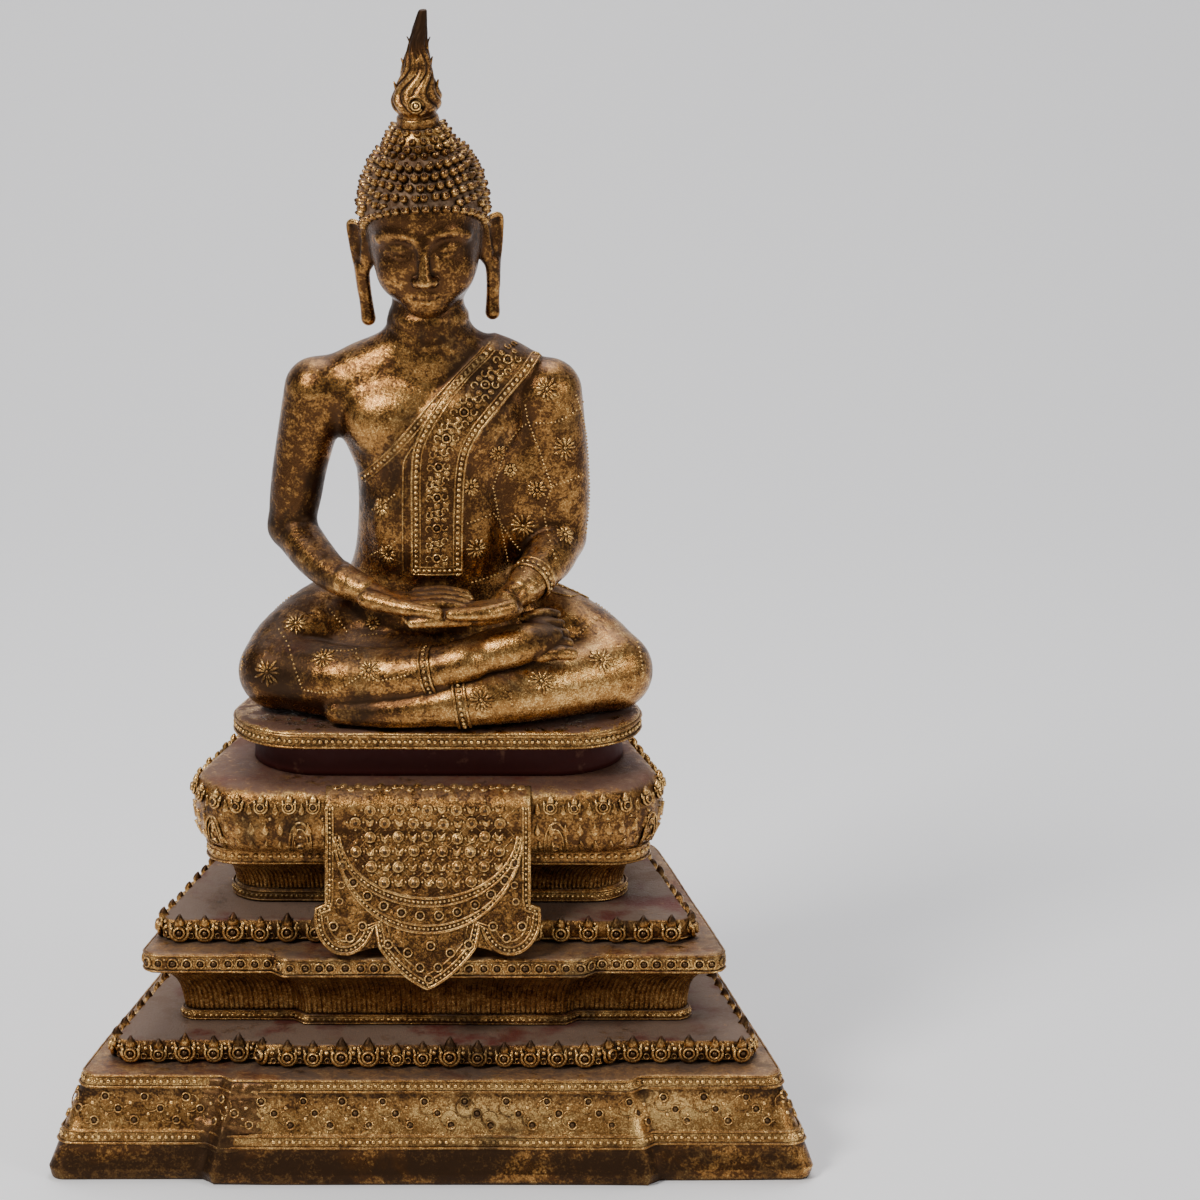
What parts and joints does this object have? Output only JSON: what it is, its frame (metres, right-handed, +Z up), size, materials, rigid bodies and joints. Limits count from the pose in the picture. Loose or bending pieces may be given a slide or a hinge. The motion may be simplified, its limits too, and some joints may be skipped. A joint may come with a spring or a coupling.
{
  "type": "bronze buddha statue",
  "caption": "Gilt bronze buddha seated in meditation on a stepped lotus throne, with a flame on the crown, studded hair and a jewelled sash.",
  "frame": {"origin": "centre of the throne's underside", "axes": "+Z up, -Y towards the front that the figure faces, +X towards the figure's left hand side"},
  "size_m": [0.5064, 0.33, 0.75],
  "materials": {
    "base_bronze": "worn gilding over dark bronze",
    "middle_bronze": "worn gilding over dark bronze",
    "lotus_bronze": "worn gilding over dark bronze",
    "figure_bronze": "worn gilding over dark bronze",
    "flame_bronze": "dark bronze with traces of gilding"
  },
  "bodies": {
    "root": {"base_tier": "base_bronze", "middle_tier": "middle_bronze", "lotus_tier": "lotus_bronze", "buddha_figure": "figure_bronze", "flame_finial": "flame_bronze"}
  },
  "joints": []
}
